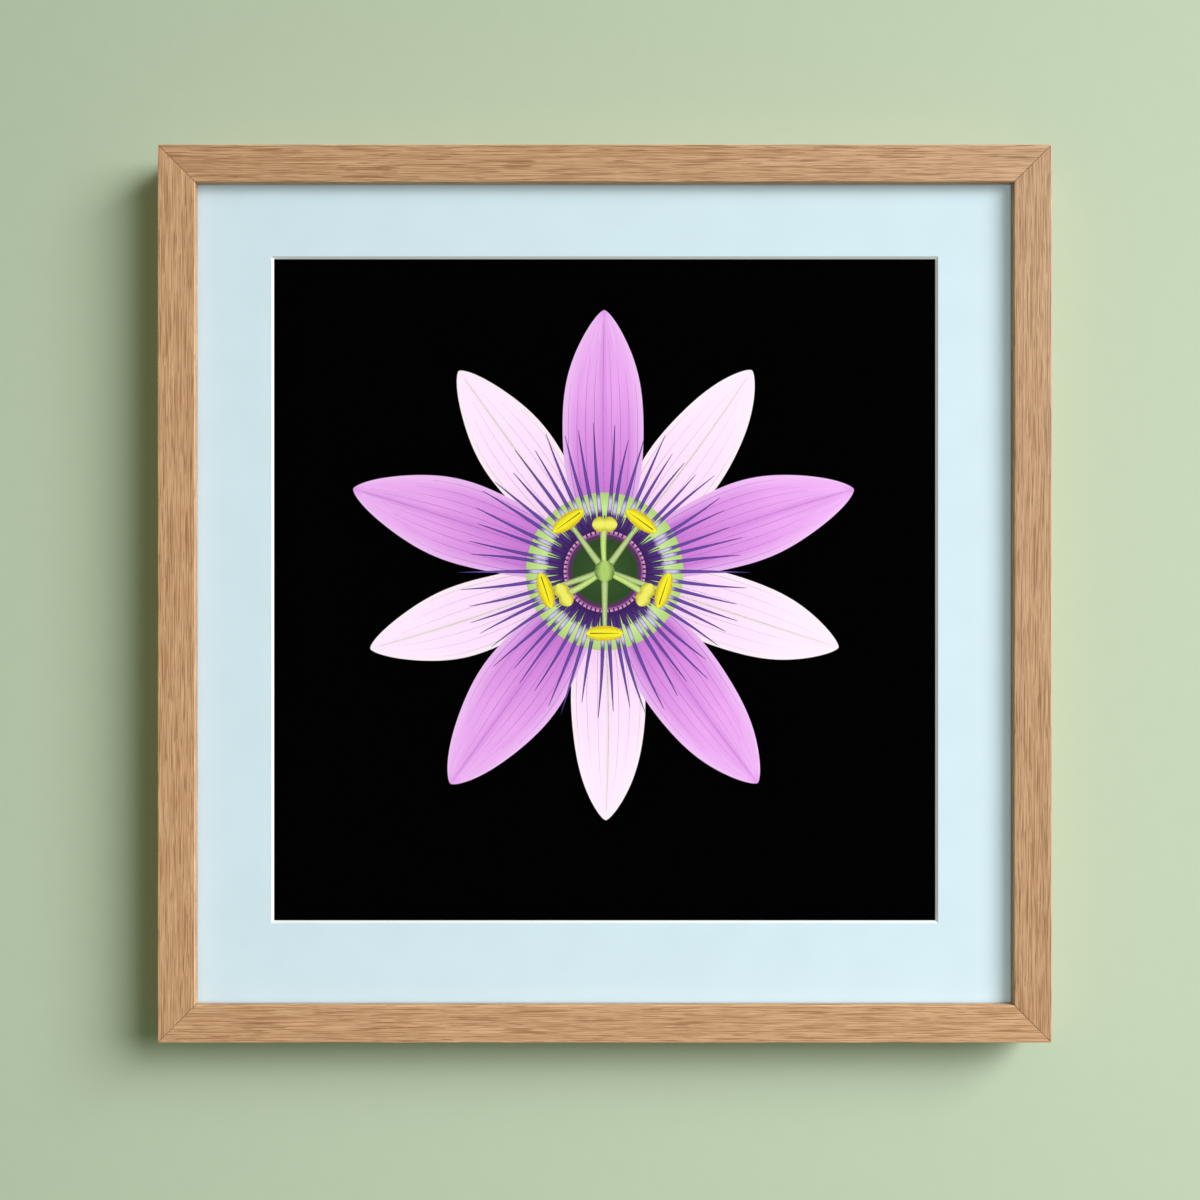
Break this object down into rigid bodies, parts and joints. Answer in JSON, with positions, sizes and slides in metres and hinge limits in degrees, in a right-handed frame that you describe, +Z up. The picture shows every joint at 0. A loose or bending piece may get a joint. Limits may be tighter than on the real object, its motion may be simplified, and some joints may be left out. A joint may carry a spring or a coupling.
{
  "type": "framed print",
  "caption": "Square framed print of a flower behind glass, with a pale blue bevelled window mat in a mitred oak frame that hangs from a sawtooth hanger.",
  "frame": {"origin": "the hanging point: on the wall plane, where the wall nail bears in the middle notch of the sawtooth hanger", "axes": "+Z up, -Y out of the wall towards the viewer, +X to the viewer's right; the wall is the plane y = 0"},
  "size_m": [0.528, 0.033, 0.5305],
  "materials": {
    "oak": "clear matt lacquer, open straight grain",
    "v_nail_steel": "bare",
    "glass": "clear, 2 mm",
    "mat_blue": "pale blue face, white core",
    "print_paper": "matt art paper, printed black ground",
    "linen_tape": "white linen hinge tape",
    "white_board": "uncoated",
    "hardboard": "pressed brown fibre board",
    "point_steel": "blued spring steel",
    "hanger_brass": "brassed steel",
    "bumper": "clear soft polyurethane"
  },
  "bodies": {
    "root": {"backing_board": "hardboard", "flexi_point_bottom_1": "point_steel", "flexi_point_bottom_2": "point_steel", "flexi_point_bottom_3": "point_steel", "flexi_point_left_1": "point_steel", "flexi_point_left_2": "point_steel", "flexi_point_left_3": "point_steel", "flexi_point_right_1": "point_steel", "flexi_point_right_2": "point_steel", "flexi_point_right_3": "point_steel", "flexi_point_top_1": "point_steel", "flexi_point_top_2": "point_steel", "flexi_point_top_3": "point_steel", "glazing": "glass", "hanger_nail_left": "hanger_brass", "hanger_nail_right": "hanger_brass", "hinge_tape_left": "linen_tape", "hinge_tape_right": "linen_tape", "mount_board": "white_board", "print_sheet": "print_paper", "rail_bottom": "oak", "rail_left": "oak", "rail_right": "oak", "rail_top": "oak", "sawtooth_hanger": "hanger_brass", "v_nail_bottom_left_1": "v_nail_steel", "v_nail_bottom_left_2": "v_nail_steel", "v_nail_bottom_right_1": "v_nail_steel", "v_nail_bottom_right_2": "v_nail_steel", "v_nail_top_left_1": "v_nail_steel", "v_nail_top_left_2": "v_nail_steel", "v_nail_top_right_1": "v_nail_steel", "v_nail_top_right_2": "v_nail_steel", "wall_bumper_left": "bumper", "wall_bumper_right": "bumper", "window_mat": "mat_blue"}
  },
  "joints": []
}
